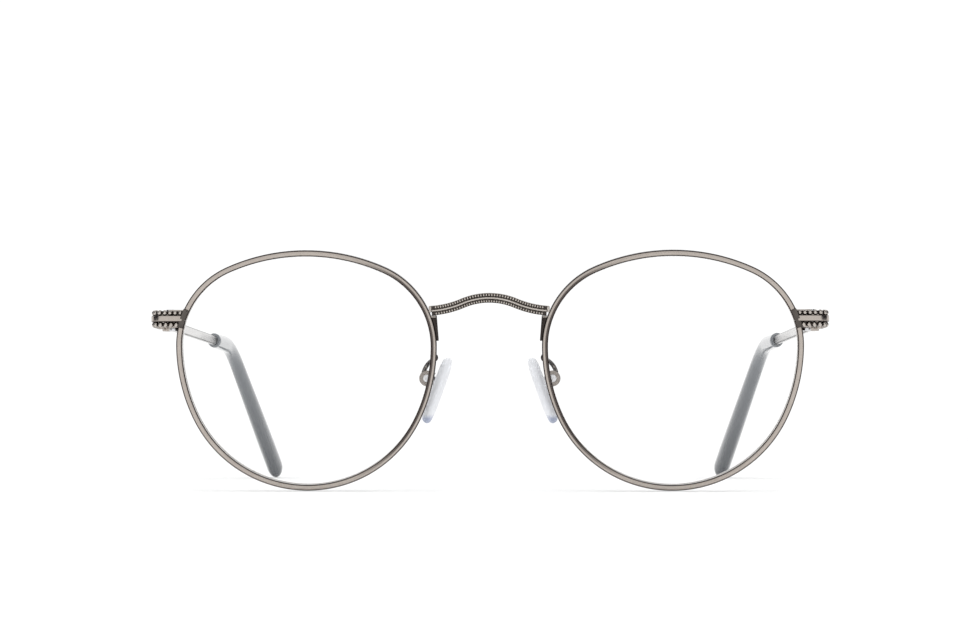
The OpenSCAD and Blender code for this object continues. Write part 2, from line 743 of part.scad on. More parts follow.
// Plate buried in the pad, with a round lug that stands in the box; grown by a clearance
module insert_shape(grow) {
    translate([-pad_back - plate_deep - plate_t / 2, 0, -pad_hang])
        rotate([0, 90, 0]) rotate([0, 0, 90])
            linear_extrude(plate_t + 2 * grow, center = true) stadium(plate_w + 2 * grow, plate_h + 2 * grow);
    translate([-pad_back - plate_deep - plate_t / 2, -lug_t / 2 - grow, -lug_r - grow])
        cube([pad_back + plate_deep + plate_t / 2, lug_t + 2 * grow, 2 * (lug_r + grow)]);
}

module pad_insert() {
    color(STEEL)
        on_pad()
            difference() {
                union() {
                    insert_shape(0);
                    rotate([90, 0, 0]) cylinder(r = lug_r, h = lug_t, center = true);
                }
                rotate([90, 0, 0]) cylinder(d = pad_screw_d + 2 * running_gap, h = 2 * lug_t, center = true);
            }
}

// Soft pad: an oval slab with a crowned face towards the nose
module nose_pad() {
    crown_face_r = 24;
    color(SILICONE)
        on_pad()
            difference() {
                intersection() {
                    translate([-pad_back - pad_t / 2, 0, -pad_hang])
                        rotate([0, 90, 0]) rotate([0, 0, 90])
                            linear_extrude(pad_t, center = true) stadium(pad_w, pad_len);
                    translate([-pad_back - pad_t + crown_face_r, 0, -pad_hang]) sphere(crown_face_r, $fn = FINE);
                }
                insert_shape(push_gap);
            }
}

side("right") rim();  // rim_right
side("left") rim();  // rim_left
side("right") lens();  // lens_right
side("left") lens();  // lens_left
bridge();
side("right") bridge_foot();  // bridge_foot_right
side("left") bridge_foot();  // bridge_foot_left
side("right") end_plate();  // end_plate_right
side("left") end_plate();  // end_plate_left
side("right") end_bar();  // end_bar_right
side("left") end_bar();  // end_bar_left
side("right") bead_wire(1);  // upper_bead_wire_right
side("left") bead_wire(1);  // upper_bead_wire_left
side("right") bead_wire(-1);  // lower_bead_wire_right
side("left") bead_wire(-1);  // lower_bead_wire_left
side("right") closing_block(1);  // closing_block_upper_right
side("left") closing_block(1);  // closing_block_upper_left
side("right") closing_block(-1);  // closing_block_lower_right
side("left") closing_block(-1);  // closing_block_lower_left
side("right") rim_screw();  // rim_screw_right
side("left") rim_screw();  // rim_screw_left
side("right") hinge_front();  // hinge_front_right
side("left") hinge_front();  // hinge_front_left
side("right") hinge_screw();  // hinge_screw_right
side("left") hinge_screw();  // hinge_screw_left
side("right") hinge_tongue();  // hinge_tongue_right
side("left") hinge_tongue();  // hinge_tongue_left
side("right") temple_bar();  // temple_bar_right
side("left") temple_bar();  // temple_bar_left
side("right") temple_tip();  // temple_tip_right
side("left") temple_tip();  // temple_tip_left
side("right") pad_arm();  // pad_arm_right
side("left") pad_arm();  // pad_arm_left
side("right") pad_box();  // pad_box_right
side("left") pad_box();  // pad_box_left
side("right") pad_screw();  // pad_screw_right
side("left") pad_screw();  // pad_screw_left
side("right") pad_insert();  // pad_insert_right
side("left") pad_insert();  // pad_insert_left
side("right") nose_pad();  // nose_pad_right
side("left") nose_pad();  // nose_pad_left
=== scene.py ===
# Round wire eyeglasses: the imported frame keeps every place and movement, and the visible pieces
# are made here, one section after another, in the order in which the frame is put together.
import json
import math
import bmesh
import bpy
from mathutils import Matrix, Vector

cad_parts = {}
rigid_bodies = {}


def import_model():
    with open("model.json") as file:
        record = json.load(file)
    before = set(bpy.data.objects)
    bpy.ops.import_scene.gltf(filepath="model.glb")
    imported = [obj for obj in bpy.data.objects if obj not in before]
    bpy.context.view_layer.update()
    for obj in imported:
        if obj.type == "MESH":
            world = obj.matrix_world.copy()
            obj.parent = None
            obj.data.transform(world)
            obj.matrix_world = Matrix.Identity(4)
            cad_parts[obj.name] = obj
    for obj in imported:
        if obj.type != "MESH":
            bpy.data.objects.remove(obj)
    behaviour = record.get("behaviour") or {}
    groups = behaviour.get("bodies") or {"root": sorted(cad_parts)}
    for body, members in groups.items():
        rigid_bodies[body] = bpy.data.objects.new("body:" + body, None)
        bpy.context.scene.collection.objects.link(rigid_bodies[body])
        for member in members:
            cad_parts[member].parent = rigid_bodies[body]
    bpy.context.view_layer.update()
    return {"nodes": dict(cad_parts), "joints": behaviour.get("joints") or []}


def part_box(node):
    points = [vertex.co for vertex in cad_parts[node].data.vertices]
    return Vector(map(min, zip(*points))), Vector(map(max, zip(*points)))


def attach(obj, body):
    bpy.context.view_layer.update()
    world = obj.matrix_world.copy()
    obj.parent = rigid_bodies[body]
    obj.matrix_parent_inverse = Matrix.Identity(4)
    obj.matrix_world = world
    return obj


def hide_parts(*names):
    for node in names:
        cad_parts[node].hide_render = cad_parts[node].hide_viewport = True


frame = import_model()

# ---- View and light ----
# The camera is low and close, a little to the wearer's left, and tipped up towards the frame.
# All-round white light stands for a white tent, and dark cards off to the sides, which only
# reflections see, draw the edges of the bright metal.
camera_data = bpy.data.cameras.new("front_view")
camera_data.sensor_width = 36
camera_data.lens = 85.5
camera_data.clip_start = 0.01
camera = bpy.data.objects.new("front_view", camera_data)
camera.location = (0.0075, -0.526, 0.0122)
camera.rotation_euler = (math.radians(92.71), 0, math.radians(1.07))
bpy.context.scene.collection.objects.link(camera)
bpy.context.scene.camera = camera
bpy.context.scene.view_settings.view_transform = "Standard"

tent = bpy.data.worlds.new("white_tent")
tent.use_nodes = True
tent.node_tree.nodes["Background"].inputs["Color"].default_value = (1, 1, 1, 1)
tent.node_tree.nodes["Background"].inputs["Strength"].default_value = 1.06
bpy.context.scene.world = tent


class Field:
    """A value that varies over a surface. Sums and products of it add Math nodes."""

    def __init__(self, tree, socket):
        self.tree = tree
        self.socket = socket

    def math(self, operation, *values):
        node = self.tree.nodes.new("ShaderNodeMath")
        node.operation = operation
        for socket, value in zip(node.inputs, values):
            if isinstance(value, Field):
                self.tree.links.new(value.socket, socket)
            else:
                socket.default_value = value
        return Field(self.tree, node.outputs[0])

    def __add__(self, other):
        return self.math("ADD", self, other)

    def __radd__(self, other):
        return self.math("ADD", other, self)

    def __mul__(self, other):
        return self.math("MULTIPLY", self, other)

    def __rmul__(self, other):
        return self.math("MULTIPLY", other, self)


class Finish:
    """A surface finish: a Principled shader with fixed values, and fields that vary over it."""

    def __init__(self, name, **fixed):
        self.material = bpy.data.materials.new(name)
        self.material.use_nodes = True
        self.tree = self.material.node_tree
        self.shader = self.tree.nodes["Principled BSDF"]
        for socket, value in fixed.items():
            self.shader.inputs[socket.replace("_", " ")].default_value = value

    def node(self, kind, settings=None, output=0, **sockets):
        made = self.tree.nodes.new("ShaderNode" + kind)
        for name, value in (settings or {}).items():
            setattr(made, name, value)
        for name, value in sockets.items():
            socket = made.inputs[name.replace("_", " ")]
            if isinstance(value, Field):
                self.tree.links.new(value.socket, socket)
            else:
                socket.default_value = value
        return Field(self.tree, made.outputs[output])

    def place(self):
        return self.node("TexCoord", output="Object")

    def noise(self, size, stretch=(1, 1, 1), detail=3.0):
        """Cloudy noise from 0 to 1 whose patches are about size metres across."""
        point = self.node("Mapping", Vector=self.place(), Scale=[s / size for s in stretch])
        return self.node("TexNoise", Vector=point, Scale=1.0, Detail=detail, Roughness=0.6)

    def blend(self, share, low, high):
        """A colour that goes from low to high as share goes from 0 to 1."""
        mix = self.tree.nodes.new("ShaderNodeMix")
        mix.data_type = "RGBA"
        for socket, colour in ((mix.inputs[6], low), (mix.inputs[7], high)):
            if isinstance(colour, Field):
                self.tree.links.new(colour.socket, socket)
            else:
                socket.default_value = (*colour, 1)
        self.tree.links.new(share.socket, mix.inputs[0])
        return Field(self.tree, mix.outputs[2])

    def feed(self, socket, field):
        self.tree.links.new(field.socket, self.shader.inputs[socket])

    def bump(self, height, depth):
        """Relief of depth metres where height goes from 0 to 1."""
        self.feed("Normal", self.node("Bump", Height=height, Distance=depth, Strength=1.0))


# The floor is a wide white table.
bpy.ops.object.select_all(action="DESELECT")
bpy.ops.mesh.primitive_circle_add(vertices=64, radius=4, fill_type="NGON", location=(0, 0, -0.0001))
table = bpy.context.object
table.name = "table"
table_white = Finish("table_white", Base_Color=(0.97, 0.97, 0.97, 1), Roughness=0.9)
table_white.feed("Roughness", 0.85 + 0.1 * table_white.noise(0.05))
table.data.materials.append(table_white.material)

# Cards, each with its azimuth from the front, elevation, distance, width and height. Only glossy
# and clear surfaces see them. The small one stands where the camera is.
card_black = Finish("card_black", Base_Color=(0.004, 0.005, 0.010, 1), Roughness=1.0)
card_black.feed("Roughness", 0.9 + 0.1 * card_black.noise(0.1))
for name, azimuth, elevation, distance, width, height in (
    ("card_right", -74, 12, 0.50, 0.46, 0.60),
    ("card_left", 74, 12, 0.50, 0.46, 0.60),
    ("card_above", 0, 62, 0.55, 0.90, 0.30),
    ("card_camera", 1, -1, 0.60, 0.13, 0.10),
):
    a, e = math.radians(azimuth), math.radians(elevation)
    towards = Vector((math.sin(a) * math.cos(e), -math.cos(a) * math.cos(e), math.sin(e)))
    bpy.ops.mesh.primitive_plane_add(size=1, location=towards * distance)
    card = bpy.context.object
    card.name = name
    card.scale = (width, height, 1)
    card.rotation_euler = towards.to_track_quat("Z", "Y").to_euler()
    card.data.materials.append(card_black.material)
    card.visible_camera = card.visible_diffuse = card.visible_shadow = False

# A soft lamp above and in front gives the metal its broad highlight.
lamp_data = bpy.data.lights.new("soft_lamp", "AREA")
lamp_data.shape = "DISK"
lamp_data.size = 0.7
lamp_data.energy = 1.2
lamp = bpy.data.objects.new("soft_lamp", lamp_data)
lamp.location = (0.1, -0.5, 0.9)
lamp.rotation_euler = lamp.location.to_track_quat("Z", "Y").to_euler()
bpy.context.scene.collection.objects.link(lamp)

# ---- Rims ----
# Each rim is a plated wire rolled with a groove for the lens, bent round the lens and split at its
# outer side. Its front is engraved with a fine slanting hatch. Both are made lying flat, with x
# across, y up and z forwards, then leaned so that the brow stands forwards of the cheek.
lens_w = 0.0505
brow_rise = 0.0184
cheek_drop = 0.0283
shoulder_turn = math.radians(66)
cheek_turn = math.radians(24.6)
rim_w = 0.0012
rim_depth = 0.0019
groove_depth = 0.0004
lean = math.radians(8)
rim_edge_r = 0.00025
end_rise = 0.0055
split_gap = 0.0002

rim_low, rim_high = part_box("rim_left")
eye_x = (rim_low.x + rim_high.x) / 2
rim_out = rim_w - groove_depth
eye_rise = cheek_drop + rim_out
foot_lift = (rim_depth / 2 - rim_edge_r) * math.sin(lean) + rim_edge_r * (1 - math.cos(lean))
front_foot_y = (rim_low.y + rim_high.y) / 2 + (eye_rise + (brow_rise - cheek_drop) / 2) * math.sin(lean)
flat_to_front = (
    Matrix.Translation((0, front_foot_y, foot_lift))
    @ Matrix.Rotation(math.pi / 2 + lean, 4, "X")
    @ Matrix.Translation((0, eye_rise, 0))
)


def side_and_end(a, b, turn):
    """Centre offsets and radii of the side arc and the end arc of a quarter of a lens's edge."""
    apart = abs(a - b) / (math.cos(turn) + math.sin(turn) - 1)
    if a >= b:
        small = b - apart * (1 - math.sin(turn))
        return (a - small, small), (small + apart - b, small + apart)
    small = a - apart * (1 - math.cos(turn))
    return (a - small - apart, small + apart), (small - b, small)


(shoulder_x, shoulder_r), (brow_down, brow_r) = side_and_end(lens_w / 2, brow_rise, shoulder_turn)
(flank_x, flank_side_r), (cheek_down, cheek_r) = side_and_end(lens_w / 2, cheek_drop, cheek_turn)
# Arcs round the left lens, from the outer side up over the brow: centre, radius, turn
lens_edge = (
    ((eye_x + shoulder_x, 0), shoulder_r, shoulder_turn),
    ((eye_x, -brow_down), brow_r, math.pi - 2 * shoulder_turn),
    ((eye_x - shoulder_x, 0), shoulder_r, shoulder_turn),
    ((eye_x - flank_x, 0), flank_side_r, cheek_turn),
    ((eye_x, cheek_down), cheek_r, math.pi - 2 * cheek_turn),
    ((eye_x + flank_x, 0), flank_side_r, cheek_turn),
)


def limited(value):
    return min(1.0, max(0.0, value))


def take(obj):
    """Makes a piece the only one selected, and the active one."""
    bpy.ops.object.select_all(action="DESELECT")
    bpy.context.view_layer.objects.active = obj
    obj.select_set(True)


def edit(obj):
    """Opens a piece for editing with nothing selected."""
    take(obj)
    bpy.ops.object.mode_set(mode="EDIT")
    bpy.ops.mesh.select_mode(type="VERT")
    bpy.ops.mesh.select_all(action="DESELECT")


def pick(obj, kind, wanted):
    """Selects the vertices, edges or faces of the open piece for which wanted is true."""
    mesh = bmesh.from_edit_mesh(obj.data)
    mesh.select_mode = {kind}
    for group in (mesh.verts, mesh.edges, mesh.faces):
        for part in group:
            part.select = False
    for part in {"VERT": mesh.verts, "EDGE": mesh.edges, "FACE": mesh.faces}[kind]:
        part.select_set(bool(wanted(part)))
    bpy.context.tool_settings.mesh_select_mode = (kind == "VERT", kind == "EDGE", kind == "FACE")
    bmesh.update_edit_mesh(obj.data)


def close_edit(obj, merge=1e-7):
    """Merges doubles, turns all faces outwards and leaves edit mode."""
    bpy.ops.mesh.select_mode(type="VERT")
    bpy.ops.mesh.select_all(action="SELECT")
    bpy.ops.mesh.remove_doubles(threshold=merge)
    bpy.ops.mesh.normals_make_consistent(inside=False)
    bpy.ops.object.mode_set(mode="OBJECT")


def settle(obj, placed=None):
    """Moves a piece to its place in the frame and leaves its object at the origin."""
    if placed is not None:
        obj.matrix_world = placed
    take(obj)
    bpy.ops.object.transform_apply(location=True, rotation=True, scale=True)


def smooth(obj, degrees):
    take(obj)
    bpy.ops.object.shade_smooth_by_angle(angle=math.radians(degrees))


def apply_modifier(obj, kind, **settings):
    modifier = obj.modifiers.new(kind.lower(), kind)
    for name, value in settings.items():
        setattr(modifier, name, value)
    bpy.context.view_layer.objects.active = obj
    bpy.ops.object.modifier_apply(modifier=modifier.name)


def mirrored(obj, name):
    """A copy of a left-hand piece for the wearer's right, with its own mesh."""
    twin = obj.copy()
    twin.data = obj.data.copy()
    twin.name = name
    bpy.context.scene.collection.objects.link(twin)
    twin.matrix_world = Matrix.Scale(-1, 4, (1, 0, 0))
    settle(twin)
    edit(twin)
    bpy.ops.mesh.select_all(action="SELECT")
    bpy.ops.mesh.normals_make_consistent(inside=False)
    bpy.ops.object.mode_set(mode="OBJECT")
    return twin


def fit(obj, body, node, finish):
    """Gives a finished piece its finish and its body, and hides the CAD node that it stands for."""
    obj.data.materials.clear()
    obj.data.materials.append(finish.material)
    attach(obj, body)
    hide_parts(node)


def fit_pair(left, degrees, body, node, finish):
    """Smooths a left piece, mirrors it for the right, and fits both. {} stands for the side."""
    smooth(left, degrees)
    right = mirrored(left, left.name.replace("_left", "_right"))
    smooth(right, degrees)
    for side, obj in (("left", left), ("right", right)):
        fit(obj, body.format(side), node.format(side), finish)


def spin_on(centre, turn, step, radius):
    """Spins what is selected about an upright axis through centre; positive goes from x to y."""
    steps = max(2, round(abs(turn) * radius / step))
    bpy.ops.mesh.spin(steps=steps, angle=-turn, center=(*centre, 0), axis=(0, 0, 1))


split_turn = math.asin(end_rise / (shoulder_r + rim_out))
half_split = split_gap / 2 / shoulder_r
hatch_step = 0.00011
hatch_pitch = 0.00046
hatch_depth = 0.00003
hatch_reach = 0.00012
crown_drop = 0.00019
rubbed_half = 0.00043
nose_shade_from = 0.00004
rub_and_shade_fade = 0.0001
front_z = rim_depth / 2
hair = 1e-6
bpy.ops.object.select_all(action="DESELECT")
bpy.ops.mesh.primitive_plane_add(size=1, rotation=(math.pi / 2, 0, 0))
rim_left = bpy.context.object
rim_left.name = "rim_wire_left"
rim_left.scale = (rim_w, rim_depth, 1)
settle(rim_left)
edit(rim_left)
bpy.ops.mesh.select_all(action="SELECT")
bpy.ops.mesh.bevel(offset=rim_edge_r * 0.9, segments=4, affect="VERTICES")
pick(rim_left, "EDGE", lambda e: all(v.co.z > front_z - hair for v in e.verts))
bpy.ops.mesh.subdivide(number_cuts=7)
pick(rim_left, "EDGE", lambda e: all(v.co.x < hair - rim_w / 2 for v in e.verts))
bpy.ops.mesh.subdivide(number_cuts=3)
pick(rim_left, "VERT", lambda v: v.co.x < hair - rim_w / 2 and abs(v.co.z) < hair)
bpy.ops.transform.translate(value=(groove_depth, 0, 0))
# The front is crowned, and rubbed bright between its dark edges; so is the side beside the lens.
# The half of the front that is next to the lens is marked for a painted reflection, which darkens it
# towards the nose.
shape = bmesh.from_edit_mesh(rim_left.data)
wear_and_shade = shape.verts.layers.float.new("wear_and_shade")
nose_shade_half = shape.verts.layers.float.new("nose_shade_half")
for v in shape.verts:
    if v.co.z > front_z - hair:
        v[wear_and_shade] = limited((rubbed_half - abs(v.co.x)) / rub_and_shade_fade)
        v[nose_shade_half] = limited((nose_shade_from - v.co.x) / rub_and_shade_fade)
        v.co.z -= crown_drop * (v.co.x / (rim_w / 2)) ** 2
    elif v.co.x < hair - rim_w / 2:
        v[wear_and_shade] = 0.8
    elif v.co.z < hair - front_z:
        v[wear_and_shade] = 0.35
bmesh.update_edit_mesh(rim_left.data)
# The section goes to the split in the outer side, and is spun once round from there
bpy.ops.mesh.select_all(action="SELECT")
bpy.ops.transform.translate(value=(eye_x + shoulder_x + shoulder_r - groove_depth + rim_w / 2, 0, 0))
start = split_turn + half_split
turned = Matrix.Translation((eye_x + shoulder_x, 0, 0)) @ Matrix.Rotation(start, 4, "Z")
turned = turned @ Matrix.Translation((-eye_x - shoulder_x, 0, 0))
shape = bmesh.from_edit_mesh(rim_left.data)
bmesh.ops.transform(shape, matrix=turned, verts=shape.verts)
bmesh.update_edit_mesh(rim_left.data)
for i, (centre, radius, turn) in enumerate(lens_edge):
    spin_on(centre, turn - (start if i == 0 else 0), hatch_step, radius)
spin_on(lens_edge[0][0], start - 2 * half_split, hatch_step, shoulder_r)
close_edit(rim_left)


def wear(obj, rule):
    """Marks on each vertex, from 0 to 1, how bright the dark finish is there: where it is rubbed off,
    and where light or shade is painted.
    """
    marks = obj.data.attributes.get("wear_and_shade") or obj.data.attributes.new("wear_and_shade", "FLOAT", "POINT")
    for v, mark in zip(obj.data.vertices, marks.data):
        mark.value = limited(rule(v))


# Painted reflection: the lens-side half of the front is painted dark towards the nose.
nose_shade_marks = rim_left.data.attributes["nose_shade_half"].data
wear_and_shade_marks = rim_left.data.attributes["wear_and_shade"].data
for v, inner, mark in zip(rim_left.data.vertices, nose_shade_marks, wear_and_shade_marks):
    noseward = (eye_x - v.co.x) / (lens_w / 2)
    mark.value *= 1 - 0.85 * inner.value * limited((noseward - 0.35) / 0.4)
rim_left.data.attributes.remove(rim_left.data.attributes["nose_shade_half"])
# Slanting grooves are pressed into the front
for v in rim_left.data.vertices:
    if v.co.z > front_z - hatch_reach:
        across = math.hypot(v.co.x - eye_x, v.co.y)
        along = math.atan2(v.co.y, v.co.x - eye_x) * lens_w / 2
        v.co.z -= hatch_depth * max(0.0, math.sin(2 * math.pi * (along + across) / hatch_pitch))
settle(rim_left, flat_to_front)


def plated(name, light, lighter, dark, rough):
    """Plated metal that is dark where the wear and painted shade mark is 0 and bright where it is 1."""
    finish = Finish(name, Metallic=1.0)
    grain = finish.noise(0.00025, stretch=(1, 0.35, 1))
    wear_and_shade = finish.node("Attribute", {"attribute_name": "wear_and_shade"}, output="Fac")
    bright = finish.blend(finish.noise(0.004), light, lighter)
    finish.feed("Base Color", finish.blend(wear_and_shade, dark, bright))
    finish.feed("Roughness", rough + 0.14 * grain)
    finish.bump(grain, 0.000005)
    return finish


pewter = plated("pewter", (0.40, 0.355, 0.32), (0.53, 0.48, 0.435), (0.030, 0.021, 0.020), 0.16)
fit_pair(rim_left, 50, "front", "rim_{}", pewter)

# ---- Lenses ----
# Clear moulded lenses of even thickness, curved like part of a ball, with a pointed edge that
# stands in the groove of the rim. They have a thin coating that cuts reflections.
lens_t = 0.0018
lens_curve_r = 0.132
lens_edge_out = -0.00046
lens_tooth = 0.00036
lens_mid_rise = (brow_rise - cheek_drop) / 2
mean_r = (lens_w / 2 + (brow_rise + cheek_drop) / 2) / 2
lens_sag = lens_curve_r - math.sqrt(lens_curve_r ** 2 - mean_r ** 2)
ball_z = lens_sag + lens_t / 2 - lens_curve_r


def lens_front(co):
    """Height of the lens's front surface at a point."""
    reach = math.hypot(co.x - eye_x, co.y - lens_mid_rise)
    return ball_z + math.sqrt(lens_curve_r ** 2 - reach ** 2)


bpy.ops.object.select_all(action="DESELECT")
bpy.ops.mesh.primitive_plane_add(
    size=0.0001, location=(eye_x + shoulder_x + shoulder_r + lens_edge_out, 0, 0)
)
lens_left = bpy.context.object
lens_left.name = "clear_lens_left"
settle(lens_left)
edit(lens_left)
bpy.ops.mesh.select_all(action="SELECT")
bpy.ops.mesh.merge(type="CENTER")
for centre, radius, turn in lens_edge:
    spin_on(centre, turn, 0.001, radius)
bpy.ops.mesh.select_all(action="SELECT")
bpy.ops.mesh.remove_doubles(threshold=1e-6)
lens_rings = 14
for i in range(lens_rings):
    bpy.ops.mesh.extrude_edges_move()
    bpy.ops.transform.resize(
        value=((lens_rings - i) / (lens_rings - i + 1),) * 3,
        center_override=(eye_x, lens_mid_rise, 0),
    )
bpy.ops.mesh.edge_face_add()
bpy.ops.mesh.poke()
shape = bmesh.from_edit_mesh(lens_left.data)
for v in shape.verts:
    v.co.z = lens_front(v.co)
bmesh.update_edit_mesh(lens_left.data)
bpy.ops.mesh.select_all(action="SELECT")
for share in (0.33, 0.17, 0.17, 0.33):
    bpy.ops.mesh.extrude_region_move(TRANSFORM_OT_translate={"value": (0, 0, -share * lens_t)})
# The middle ring of the edge stands out as the tooth
pick(
    lens_left,
    "VERT",
    lambda v: len(v.link_faces) == 4 and abs(lens_front(v.co) - v.co.z - lens_t / 2) < 1e-5,
)
bpy.ops.transform.resize(
    value=(1 + lens_tooth / mean_r, 1 + lens_tooth / mean_r, 1),
    center_override=(eye_x, lens_mid_rise, 0),
)
close_edit(lens_left)
settle(lens_left, flat_to_front)

clear_lens = Finish("clear_lens", Base_Color=(0.97, 0.99, 1.0, 1), Roughness=0.03, IOR=1.5)
glance = clear_lens.node("Fresnel", IOR=1.25)
clear_lens.feed("Alpha", 0.02 + 0.5 * glance)
clear_lens.feed("Roughness", 0.02 + 0.02 * clear_lens.noise(0.01))
fit_pair(lens_left, 30, "front", "lens_{}", clear_lens)

# ---- Bridge ----
# A bar bent into a saddle and let into both rims. Its front has a smooth ridge, and a row of
# small raised beads along its upper and its lower edge. It is darkened, and rubbed bright on top.
bridge_rise = 0.0072
bridge_h = 0.002
bridge_t = 0.0013
bridge_forward = 0.001
saddle_slope = math.radians(23)
end_slope = math.radians(4)
turn_back_r = 0.0008
ridge_half = 0.00027
bead_ground = 0.00036
bead_pitch = 0.00052
bead_size = Vector((0.00022, 0.00034, 0.00028))
bead_row = 0.00063
bead_out = 0.00004
tab_size = (0.00058, 0.0013, 0.0011)
bridge_half = 0.01146
crown_half = 0.46 * bridge_half
crown_r = crown_half / math.sin(saddle_slope)
flank_r = (bridge_half - crown_half) / (math.sin(saddle_slope) - math.sin(end_slope))
crown_y = bridge_rise + crown_r * (1 - math.cos(saddle_slope)) + flank_r * (
    math.cos(end_slope) - math.cos(saddle_slope)
)
crown_centre = (0, crown_y - crown_r)
flank_centre = (
    crown_half + flank_r * math.sin(saddle_slope),
    crown_y - crown_r + (crown_r + flank_r) * math.cos(saddle_slope),
)


def on_saddle(s, up):
    """Point at s metres along the saddle line from its middle, and up metres off it; its slope."""
    side = 1 if s >= 0 else -1
    s = abs(s)
    crown_len = crown_r * saddle_slope
    if s <= crown_len:
        a = s / crown_r
        x, y = (crown_r + up) * math.sin(a), crown_centre[1] + (crown_r + up) * math.cos(a)
        return side * x, y, -side * a
    a = saddle_slope - (s - crown_len) / flank_r
    x = flank_centre[0] - (flank_r - up) * math.sin(a)
    return side * x, flank_centre[1] - (flank_r - up) * math.cos(a), -side * a


saddle_len = crown_r * saddle_slope + flank_r * (saddle_slope - end_slope)
bpy.ops.object.select_all(action="DESELECT")
bpy.ops.mesh.primitive_plane_add(
    size=1, location=(0, crown_y, bridge_forward), rotation=(0, math.pi / 2, 0)
)
bridge = bpy.context.object
bridge.name = "bridge_bar"
bridge.scale = (bridge_t, bridge_h * 0.96, 1)
settle(bridge)
edit(bridge)
bpy.ops.mesh.select_all(action="SELECT")
bpy.ops.mesh.bevel(offset=0.00012, segments=2, affect="VERTICES")
bar_front = bridge_forward + bridge_t / 2
pick(bridge, "EDGE", lambda e: all(v.co.z > bar_front - hair for v in e.verts))
bpy.ops.mesh.subdivide(number_cuts=17)
shape = bmesh.from_edit_mesh(bridge.data)
for v in shape.verts:
    if v.co.z > bar_front - hair:
        off = abs(v.co.y - crown_y) / ridge_half
        v.co.z -= bead_ground * (1 - math.sqrt(max(0.0, 1 - off * off)))
bmesh.update_edit_mesh(bridge.data)
bpy.ops.mesh.select_all(action="SELECT")
spin_on(crown_centre, -saddle_slope, 0.0003, crown_r)
spin_on(flank_centre, saddle_slope - end_slope, 0.0003, flank_r)
end_x, end_y, _ = on_saddle(saddle_len, 0)
bpy.ops.mesh.spin(
    steps=6,
    angle=math.radians(45),
    center=(end_x, end_y, bridge_forward - turn_back_r),
    axis=(0, 1, 0),
)
pick(bridge, "FACE", lambda f: all(abs(v.co.x) < hair for v in f.verts))
bpy.ops.mesh.delete(type="FACE")
close_edit(bridge)
apply_modifier(bridge, "MIRROR", merge_threshold=hair)


def bridge_rub(v):
    """The top of the ridge is rubbed bright, the ground beside it is dark, the back in between."""
    unrubbed = 0.08 if v.co.z > bar_front - 0.0006 else 0.3
    return max(unrubbed, 1.5 + (v.co.z - bar_front) / bead_ground * 2)


def repeated(one, places):
    """Copies of a piece, each with its own mesh, at the places. The piece itself is removed."""
    copies = []
    for place in places:
        copy = one.copy()
        copy.data = one.data.copy()
        bpy.context.scene.collection.objects.link(copy)
        copy.matrix_world = place
        copies.append(copy)
    bpy.data.objects.remove(one)
    return copies


def join(obj, others):
    """Makes the others part of a piece."""
    take(obj)
    for one in others:
        one.select_set(True)
    bpy.ops.object.join()


wear(bridge, bridge_rub)
# Beads: one is modelled, taller than wide, and the rows repeat it at an even pitch
bpy.ops.mesh.primitive_uv_sphere_add(segments=10, ring_count=8, radius=1)
bead = bpy.context.object
bead.scale = bead_size
settle(bead)
wear(bead, lambda v: 0.45 + 0.7 * v.co.z / bead_size.z)
count = int((saddle_len - 2 * bead_size.x) / bead_pitch)
bead_places = []
for i in range(-count, count + 1):
    for row in (-bead_row, bead_row):
        x, y, turn = on_saddle(i * bead_pitch, row)
        level = bar_front - bead_ground + bead_out
        bead_places.append(Matrix.Translation((x, y, level)) @ Matrix.Rotation(turn, 4, "Z"))
bridge_parts = repeated(bead, bead_places)
# The ends wrap round smooth, bright tabs that are soldered to the rims
for side in (1, -1):
    bpy.ops.mesh.primitive_cube_add(
        size=1, location=(side * (bridge_half + 0.00027), end_y + 0.0003, bridge_forward - 0.0001)
    )
    tab = bpy.context.object
    tab.scale = tab_size
    settle(tab)
    apply_modifier(tab, "BEVEL", width=0.00022, segments=4, limit_method="ANGLE")
    wear(tab, lambda v: 1)
    bridge_parts.append(tab)
join(bridge, bridge_parts)
settle(bridge, flat_to_front)
smooth(bridge, 40)

dark_pewter = plated(
    "dark_pewter", (0.42, 0.38, 0.34), (0.60, 0.56, 0.52), (0.016, 0.011, 0.010), 0.14
)
fit(bridge, "front", "bridge", dark_pewter)

# ---- Soldered and turned small pieces ----
# Blocks, plates, hinges, boxes and bars are cut from bar stock and tumbled, which rounds their
# edges. Each keeps the frame's own shape, and gets that rounding.
screw_steel = Finish("screw_steel", Metallic=1.0)
turned_marks = screw_steel.noise(0.00012)
steel_colour = screw_steel.blend(turned_marks, (0.55, 0.55, 0.56), (0.75, 0.75, 0.77))
screw_steel.feed("Base Color", steel_colour)
screw_steel.feed("Roughness", 0.18 + 0.15 * turned_marks)
screw_steel.bump(turned_marks, 0.000004)

pewter_bright = plated(
    "pewter_bright", (0.60, 0.585, 0.575), (0.74, 0.73, 0.72), (0.05, 0.045, 0.04), 0.2
)


def flats(v):
    """Painted shade: flat faces are bright, and the rounded edges between them are painted dark."""
    return (max(abs(n) for n in v.normal) - 0.86) / 0.08


def tumbled(stem, side, body, finish, rounding, wear_and_shade=flats):
    """A copy of a CAD node with its edges rounded, which stands for it."""
    node = f"{stem}_{side}"
    obj = bpy.data.objects.new(f"{stem}_piece_{side}", frame["nodes"][node].data.copy())
    bpy.context.scene.collection.objects.link(obj)
    edit(obj)
    bpy.ops.mesh.select_all(action="SELECT")
    bpy.ops.mesh.remove_doubles(threshold=hair)
    bpy.ops.mesh.dissolve_limited(angle_limit=math.radians(2))
    bpy.ops.object.mode_set(mode="OBJECT")
    apply_modifier(
        obj, "BEVEL", width=rounding, segments=2, limit_method="ANGLE", angle_limit=math.radians(32)
    )
    smooth(obj, 40)
    wear(obj, wear_and_shade)
    fit(obj, body, node, finish)


def box_rub(v):
    """Painted light on a pad box: faces turned to the front are painted half bright, and the rest is
    dark.
    """
    return 0.5 * (-v.normal.y - 0.55) / 0.4
